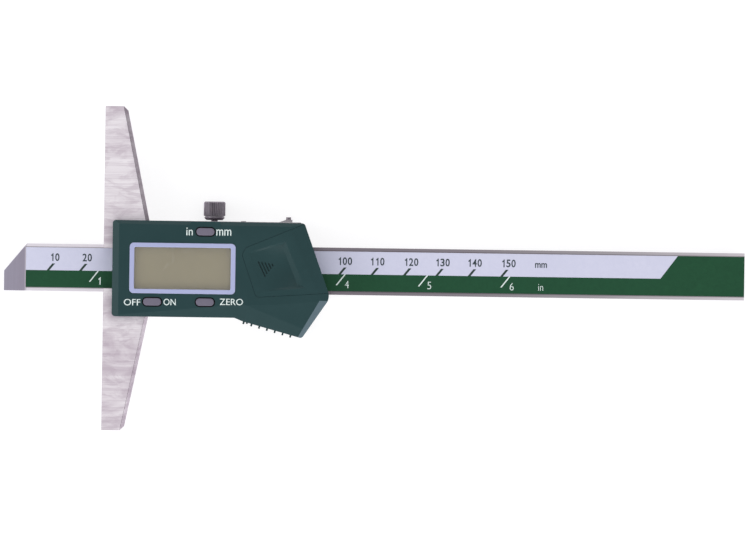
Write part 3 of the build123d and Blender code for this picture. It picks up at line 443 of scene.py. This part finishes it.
# ----------------------------------------------------------------- the scale
# Printed film over the encoder strip in the beam's recess: pale above, green
# below and past a slanted end. Its numbers and marks are a layer of ink.
FILM_BACK, FILM_FRONT = [corner.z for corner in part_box("scale_label")]
FILM_LEFT, FILM_RIGHT = [corner.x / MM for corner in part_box("scale_label")]
FILM_LOW, FILM_HIGH = [corner.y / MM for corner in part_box("scale_label")]
SPLIT = -0.9                            # height at which pale meets green, mm
SLANT_LOW, SLANT_HIGH = 171.9, 177.2    # x of the slanted end's foot and head, mm
INK_DEPTH = 0.015 * MM


def printed_film(name, colour, mottle):
    """Printed plastic film under a matt clear coat."""
    made, tree, shader = finish(name)
    cloud, broad = patchy(tree, 700.0, edge=0.2), patchy(tree, 40.0, edge=0.3)
    speckled = mixed(tree, ranged(tree, cloud, 0.0, 0.5), colour, mottle)
    uneven = mixed(tree, ranged(tree, broad, 0.0, 0.5), speckled, mottle)
    give(tree, shader, Base_Color=uneven, Roughness=ranged(tree, cloud, 0.36, 0.5),
         Specular_IOR_Level=0.12)
    return made


def corner_at(form, x, y, level):
    """A form's corner, x and y in millimetres on a level in metres."""
    return form.verts.new((x * MM, y * MM, level))


def thickened(form, depth):
    """Makes a form's flat faces a layer of so many metres."""
    moved = bmesh.ops.extrude_face_region(form, geom=form.faces[:])["geom"]
    bmesh.ops.translate(form, verts=[part for part in moved
                                     if isinstance(part, bmesh.types.BMVert)],
                        vec=(0, 0, depth))
    bmesh.ops.recalc_face_normals(form, faces=form.faces)


pale_film = printed_film("pale_film", seen(202, 203, 222), seen(190, 192, 214))
green_film = printed_film("green_film", seen(33, 77, 52), seen(26, 64, 44))
form = bmesh.new()
high_left, split_left, low_left, low_right, high_right, slant_high, slant_low = [
    corner_at(form, x, y, FILM_FRONT) for x, y in (
        (FILM_LEFT, FILM_HIGH), (FILM_LEFT, SPLIT), (FILM_LEFT, FILM_LOW),
        (FILM_RIGHT, FILM_LOW), (FILM_RIGHT, FILM_HIGH), (SLANT_HIGH, FILM_HIGH),
        (SLANT_LOW, SPLIT))]
form.faces.new((high_left, split_left, slant_low, slant_high))
green_face = form.faces.new((split_left, low_left, low_right, high_right, slant_high,
                             slant_low))
green_face.material_index = 1
thickened(form, FILM_BACK - FILM_FRONT)
film = placed("scale_film", meshed(form, "scale_film", pale_film, green_film))
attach(film, "beam")
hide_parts("scale_label")


def ink(name, colour):
    """Screen-printed ink, a little uneven."""
    made, tree, shader = finish(name)
    cloud = patchy(tree, 1500.0, edge=0.25)
    thin = (*[0.8 * part for part in colour[:3]], 1.0)
    give(tree, shader, Base_Color=mixed(tree, ranged(tree, cloud, 0.0, 0.5), colour, thin),
         Roughness=ranged(tree, cloud, 0.38, 0.52))
    return made


def typed(form, text, x, y, width, height, bold, level):
    """Adds a word's flat outline to a form, stretched to its middle, width and height
    in millimetres. Bold is how far its strokes are thickened."""
    line = bpy.data.curves.new("line", "FONT")
    line.body = text
    line.offset = bold
    line.resolution_u = 6
    pen = placed("line", line)
    bpy.context.view_layer.update()
    shape = bpy.data.meshes.new_from_object(pen)
    for axis, middle, size in ((0, x, width), (1, y, height)):
        spots = [vertex.co[axis] for vertex in shape.vertices]
        low, high = min(spots), max(spots)
        for vertex in shape.vertices:
            share = (vertex.co[axis] - low) / (high - low) - 0.5
            vertex.co[axis] = (middle + size * share) * MM
    for vertex in shape.vertices:
        vertex.co.z = level
    form.from_mesh(shape)
    bpy.data.objects.remove(pen)
    bpy.data.meshes.remove(shape)


def print_on(name, body, material, level, words=(), strokes=(), bold=0.0):
    """Words and strokes as one layer of ink. A word has its text, middle, width and
    height, and a stroke has its corners, in millimetres."""
    form = bmesh.new()
    for word in words:
        typed(form, *word, bold, level)
    for stroke in strokes:
        form.faces.new([corner_at(form, x, y, level) for x, y in stroke])
    bmesh.ops.remove_doubles(form, verts=form.verts, dist=SAME_POINT / 2)
    thickened(form, INK_DEPTH)
    piece = placed(name, meshed(form, name, material))
    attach(piece, body)


def slanted(x, low, high, run, width):
    """A scale stroke from (x, low), leaning right by run on its way up to high."""
    return [(x, low), (x + width, low), (x + run + width, high), (x + run, high)]


DIGIT_PITCH = 1.56
# A 1 as a bar with a flag, in shares of a digit's width and height.
FLAGGED_ONE = ((0.02, -0.5), (0.28, -0.5), (0.28, 0.5), (0.1, 0.5), (0.0, 0.38),
               (-0.27, 0.3), (-0.27, 0.14), (0.02, 0.17))


def number_on(words, strokes, number, middle, y, width, height):
    """Adds a number's digits on an even pitch to a print's words and strokes."""
    figures = str(number)
    for place, digit in enumerate(figures):
        x = middle + DIGIT_PITCH * (place - (len(figures) - 1) / 2)
        if digit == "1":
            strokes.append([(x + width * across, y + height * up) for across, up in FLAGGED_ONE])
        else:
            words.append((digit, x, y, width, height))


dark_ink, green_ink = ink("dark_ink", seen(38, 54, 62)), ink("green_ink", seen(16, 46, 38))
white_ink = ink("white_ink", seen(218, 230, 228))
TENS, INCHES = range(10, 151, 10), range(1, 7)
MM_ZERO, INCH_ZERO = -27.15, -27.0      # where each scale would read 0, mm
INCH, INCH_NUMBER_PITCH = 25.4, 25.45
UNITS_X = 135.0                         # middle of the words mm and in
MM_DIGIT = {"y": 3.15, "width": 1.32, "height": 2.4}
MM_STROKE = {"low": SPLIT, "high": 1.2, "run": 1.7, "width": 0.85}
INCH_DIGIT = {"y": -4.0, "width": 1.22, "height": 2.3}
INCH_STROKE = {"low": -4.3, "high": SPLIT, "run": 2.65, "width": 0.44}
# How far each ten's number stands to the right of the place that it reads.
USUAL_SHIFT = 1.75
SHIFTS = {10: 2.05, 20: 2.05, 90: 1.4, 100: 1.6, 110: 1.6, 120: 2.05, 140: 1.65, 150: 2.1}

words, strokes = [("mm", UNITS_X, 2.65, 3.7, 1.5)], []
for ten in TENS:
    number_on(words, strokes, ten, MM_ZERO + ten + SHIFTS.get(ten, USUAL_SHIFT), **MM_DIGIT)
print_on("scale_mm_numbers", "beam", dark_ink, FILM_FRONT, words, strokes, bold=0.02)

strokes = [slanted(MM_ZERO + ten - 0.4, **MM_STROKE) for ten in TENS]
print_on("scale_mm_strokes", "beam", green_ink, FILM_FRONT, strokes=strokes)

words, strokes = [("in", UNITS_X, -4.1, 1.5, 2.0)], []
for inch in INCHES:
    number_on(words, strokes, inch, INCH_ZERO + INCH_NUMBER_PITCH * inch + 0.35, **INCH_DIGIT)
    strokes.append(slanted(INCH_ZERO + INCH * inch - 2.9, **INCH_STROKE))
print_on("scale_inch_marks", "beam", white_ink, FILM_FRONT, words, strokes, bold=-0.01)

# ------------------------------------------------- housing and battery cover
# Dark green moulded plastic with a fine spark-eroded texture. The cover is of
# the same moulding, parted from the housing by a thin dark line. The words
# are pad-printed beside the buttons.
GREEN, HANDLED_GREEN = seen(25, 53, 55), seen(50, 78, 81)
TEXTURE_REPEATS = 5000.0
REST_SIDE = (0.539, -0.359, 0.762)      # the way that the thumb rest's bevel faces
# Text, middle, width and height of the words, mm.
FRONT_WORDS = (("in", 26.5, 11.65, 1.98, 2.4), ("mm", 37.05, 11.45, 4.6, 1.9),
               ("OFF", 9.1, -10.4, 5.1, 2.0), ("ON", 20.65, -10.2, 3.75, 2.0),
               ("ZERO", 39.65, -9.9, 7.2, 2.0))


def spark_effect():
    """The fine even texture that a spark-eroded mould leaves."""
    group, given, shown = effect("mould_texture", [("Repeats", "Float", TEXTURE_REPEATS)],
                                 ["Height"])
    grains = node(group, "ShaderNodeTexNoise",
                  {"Vector": own(group), "Scale": given["Repeats"], "Detail": 2.0})
    group.links.new(grains.outputs[0], shown["Height"])
    return group


mould_texture = spark_effect()


def moulding(name, colour, wear_and_shade, rough=(0.38, 0.5), gloss=0.3, depth=0.008 * MM,
             edge_toned=0.25):
    """Moulded plastic: fine texture, faint clouds of the second colour, and that colour on its
    corners by the given share: wear on most pieces, painted shade on the buttons' rims."""
    made, tree, shader = finish(name)
    cloud = patchy(tree, 45.0, edge=0.3)
    clouded = mixed(tree, ranged(tree, cloud, 0.0, 0.25), colour, wear_and_shade)
    edge_mask = ranged(tree, corners_of(tree, 0.3 * MM), 0.0, edge_toned)
    texture = node(tree, "ShaderNodeGroup", {"Repeats": TEXTURE_REPEATS},
                   node_tree=mould_texture).outputs[0]
    give(tree, shader, Base_Color=mixed(tree, edge_mask, clouded, wear_and_shade),
         Roughness=ranged(tree, cloud, *rough), Normal=bumped(tree, texture, depth),
         Specular_IOR_Level=gloss)
    return made


def handled_green():
    """The housing's plastic, with a painted pale highlight on the thumb rest's bevel: fully on
    faces within 10 degrees of REST_SIDE, and not at all past 26."""
    made = moulding("handled_green", GREEN, HANDLED_GREEN, gloss=0.2)
    tree = made.node_tree
    alike = node(tree, "ShaderNodeVectorMath", {0: own(tree, "Normal"), 1: REST_SIDE},
                 operation="DOT_PRODUCT").outputs["Value"]
    # Painted highlight: the pale colour on the rest's bevel.
    return overlaid(made, between(tree, alike, 0.9, 0.985), seen(80, 99, 108))


dressed("housing", handled_green(), 0.15 * MM)
dressed("battery_cover", moulding("green_plastic", GREEN, HANDLED_GREEN, gloss=0.2), 0.1 * MM)
print_on("front_words", "slider", white_ink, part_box("battery_cover")[1].z, FRONT_WORDS,
         bold=0.004)

# ------------------------------------------------------------------- buttons
# Three moulded pills of grey-mauve plastic, with painted shade on the rim and round the foot
# that is sunk below the front. Each drops 0.4 mm on its dome, a snap disc of sprung steel.
FOOT_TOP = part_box("housing")[1].z - 0.4 * MM
# Painted shade: the dark second colour lies on the buttons' rims.
button_plastic = moulding("button_plastic", seen(112, 107, 124), seen(38, 36, 42), edge_toned=0.85)
button_tree = button_plastic.node_tree
# Painted shade: below FOOT_TOP the buttons turn near black.
sunk_shade = reckoned(button_tree, "LESS_THAN", parted(button_tree)["Z"], FOOT_TOP)
overlaid(button_plastic, sunk_shade, seen(20, 18, 22))
for name in ("button_in_mm", "button_off_on", "button_zero"):
    dressed(name, button_plastic, 0.2 * MM, corner=40)
finished(steel("dome_steel", seen(215, 215, 215), seen(180, 180, 182), (900, 900, 900)),
         "key_domes")

# ------------------------------------------------------------------- display
# A pale lavender ring frames a clear window. Under it lie the blank liquid
# crystal glass, its black holder and the striped rubber that feeds it.
ring_plastic = moulding("ring_plastic", seen(158, 164, 200), seen(180, 186, 220),
                        rough=(0.25, 0.35), depth=0.002 * MM)
black_plastic = moulding("black_plastic", seen(40, 40, 43), seen(66, 66, 70))
BLACK_BAND, PALE_BAND = seen(35, 35, 38), seen(200, 198, 196)


def clear_acrylic():
    """Clear plastic. Only what it reflects hides the glass behind it: 4 % of the light
    from straight above, and by the fifth power of the slant all of it along the surface,
    on both faces alike."""
    made, tree, shader = finish("clear_acrylic", metallic=1.0, roughness=0.03)
    turned = node(tree, "ShaderNodeLayerWeight", {"Blend": 0.5}).outputs["Facing"]
    along = reckoned(tree, "POWER", turned, 5.0)
    give(tree, shader, Base_Color=WHITE, Alpha=ranged(tree, along, 0.04, 1.0))
    return made


def crystal_glass():
    """Polarised glass: a grey-olive film, faintly uneven under a gloss."""
    made, tree, shader = finish("crystal_glass")
    cloud = patchy(tree, 80.0, edge=0.3)
    give(tree, shader, Base_Color=mixed(tree, cloud, seen(138, 131, 106), seen(132, 125, 102)),
         Roughness=ranged(tree, cloud, 0.2, 0.3))
    return made


def striped_rubber():
    """Zebra strip: black and pale layers across its length."""
    made, tree, shader = finish("striped_rubber", roughness=0.7)
    bands = node(tree, "ShaderNodeTexWave", {"Vector": own(tree), "Scale": 1600.0},
                 bands_direction="X").outputs["Fac"]
    give(tree, shader, Base_Color=mixed(tree, bands, BLACK_BAND, PALE_BAND))
    return made


dressed("display_frame", ring_plastic, 0.3 * MM)
dressed("lcd_window", clear_acrylic(), 0.05 * MM)
finished(crystal_glass(), "lcd_panel")
finished(black_plastic, "lcd_holder")
finished(striped_rubber(), "zebra_strips")

# -------------------------------------------------------- boards and battery
# Green boards, and the beam's encoder strip like them, with copper tracks under
# the resist. On them lie a blob of black epoxy and a canned crystal. A nickel-
# plated button cell sits in a black tray, between brass contacts.


def board_resist():
    """Solder resist over copper tracks that show as paler lines."""
    made, tree, shader = finish("board_resist")
    tracks = node(tree, "ShaderNodeTexBrick",
                  {"Vector": own(tree), "Scale": 160.0, "Mortar Size": 0.05,
                   "Color1": seen(22, 92, 54), "Color2": seen(18, 80, 46),
                   "Mortar": seen(60, 132, 84)}).outputs[0]
    cloud = patchy(tree, 200.0, edge=0.3)
    give(tree, shader, Base_Color=mixed(tree, ranged(tree, cloud, 0.0, 0.4), tracks,
                                        seen(14, 62, 38)),
         Roughness=ranged(tree, cloud, 0.3, 0.45))
    return made


black_epoxy = moulding("black_epoxy", seen(24, 24, 25), seen(46, 46, 48), rough=(0.18, 0.3))
crystal_can = steel("crystal_can", seen(200, 200, 202), seen(160, 160, 164), (900, 60, 900))
battery_can = steel("battery_can", seen(222, 220, 216), seen(186, 184, 181),
                    (1400, 1400, 300))
contact_brass = steel("contact_brass", seen(220, 196, 138), seen(184, 158, 98),
                      (900, 900, 900), spots=120.0)
finished(board_resist(), "circuit_board", "sensor_board", "scale_strip")
finished(black_epoxy, "controller_chip")
finished(crystal_can, "timing_crystal")
finished(battery_can, "battery")
finished(black_plastic, "battery_tray")
finished(contact_brass, "battery_contact_negative", "battery_contact_positive")

# -------------------------------------------------- floor, lights and camera
# A pale floor under the gauge's back, four soft lights round a soft sky, and
# a camera straight above that takes in what the photograph does.
FLOOR_HALF = 0.9
FLOOR_LIFT = 0.76               # with the light on it, the floor looks white
SKY_LOW, SKY_HIGH = 0.42, 0.82
GAUGE_MIDDLE = Vector((0.08, 0, 0))
BEAM_LEVEL = 1.75 * MM
PICTURE_MIDDLE = (83.8 * MM, -0.99 * MM)
PICTURE_SPAN = 231.5 * MM       # what the picture's width takes in at the beam
PICTURE_TURN = radians(0.8)
CAMERA_HEIGHT = 5.0
SENSOR_WIDTH = 36


def pale_floor():
    """Takes shadows, and shows white to the eye and in reflections."""
    made, tree, shader = finish("pale_floor", roughness=0.8)
    rays = node(tree, "ShaderNodeLightPath").outputs
    sight = reckoned(tree, "ADD", rays["Is Camera Ray"], rays["Is Glossy Ray"])
    all_sight = reckoned(tree, "ADD", sight, rays["Is Transmission Ray"], clamped=True)
    lift = reckoned(tree, "MULTIPLY", all_sight, FLOOR_LIFT)
    give(tree, shader, Base_Color=(0.3, 0.3, 0.31, 1), Emission_Color=WHITE,
         Emission_Strength=lift)
    return made


def soft_light(name, place, watts, width, height):
    """A soft box that faces the gauge's middle, wide enough for steel to mirror softly."""
    lamp = bpy.data.lights.new(name, "AREA")
    lamp.energy = watts
    lamp.shape = "RECTANGLE"
    lamp.size, lamp.size_y = width, height
    light = placed(name, lamp)
    light.location = place
    sight = GAUGE_MIDDLE - Vector(place)
    light.rotation_euler = sight.to_track_quat("-Z", "Y").to_euler()


floor_corners = [(x * FLOOR_HALF, y * FLOOR_HALF, cad_box[0].z)
                 for x, y in ((-1, -1), (1, -1), (1, 1), (-1, 1))]
floor_mesh = bpy.data.meshes.new("floor")
floor_mesh.from_pydata(floor_corners, [], [(0, 1, 2, 3)])
floor_mesh.materials.append(pale_floor())
placed("floor", floor_mesh)

world = bpy.data.worlds.new("studio")
bpy.context.scene.world = world
world.use_nodes = True
sky = world.node_tree
give(sky, sky.nodes["Background"], Color=(1.0, 0.99, 0.995, 1),
     Strength=ranged(sky, parted(sky, "Generated")["Z"], SKY_LOW, SKY_HIGH))

soft_light("left_light", (-0.85, 0.0, 0.33), watts=5.2, width=1.3, height=0.6)
soft_light("near_light", (0.1, -0.85, 0.35), watts=6.4, width=1.4, height=0.7)
soft_light("far_light", (0.12, 0.85, 0.28), watts=3.0, width=1.3, height=0.55)
soft_light("corner_light", (1.55, -0.75, 0.4), watts=6.5, width=1.2, height=0.75)

camera = placed("camera", bpy.data.cameras.new("camera"))
camera.data.sensor_width = SENSOR_WIDTH
camera.data.lens = SENSOR_WIDTH * CAMERA_HEIGHT / PICTURE_SPAN
camera.location = (*PICTURE_MIDDLE, CAMERA_HEIGHT + BEAM_LEVEL)
camera.rotation_euler = (0, 0, PICTURE_TURN)
bpy.context.scene.camera = camera
bpy.context.scene.view_settings.view_transform = "Standard"
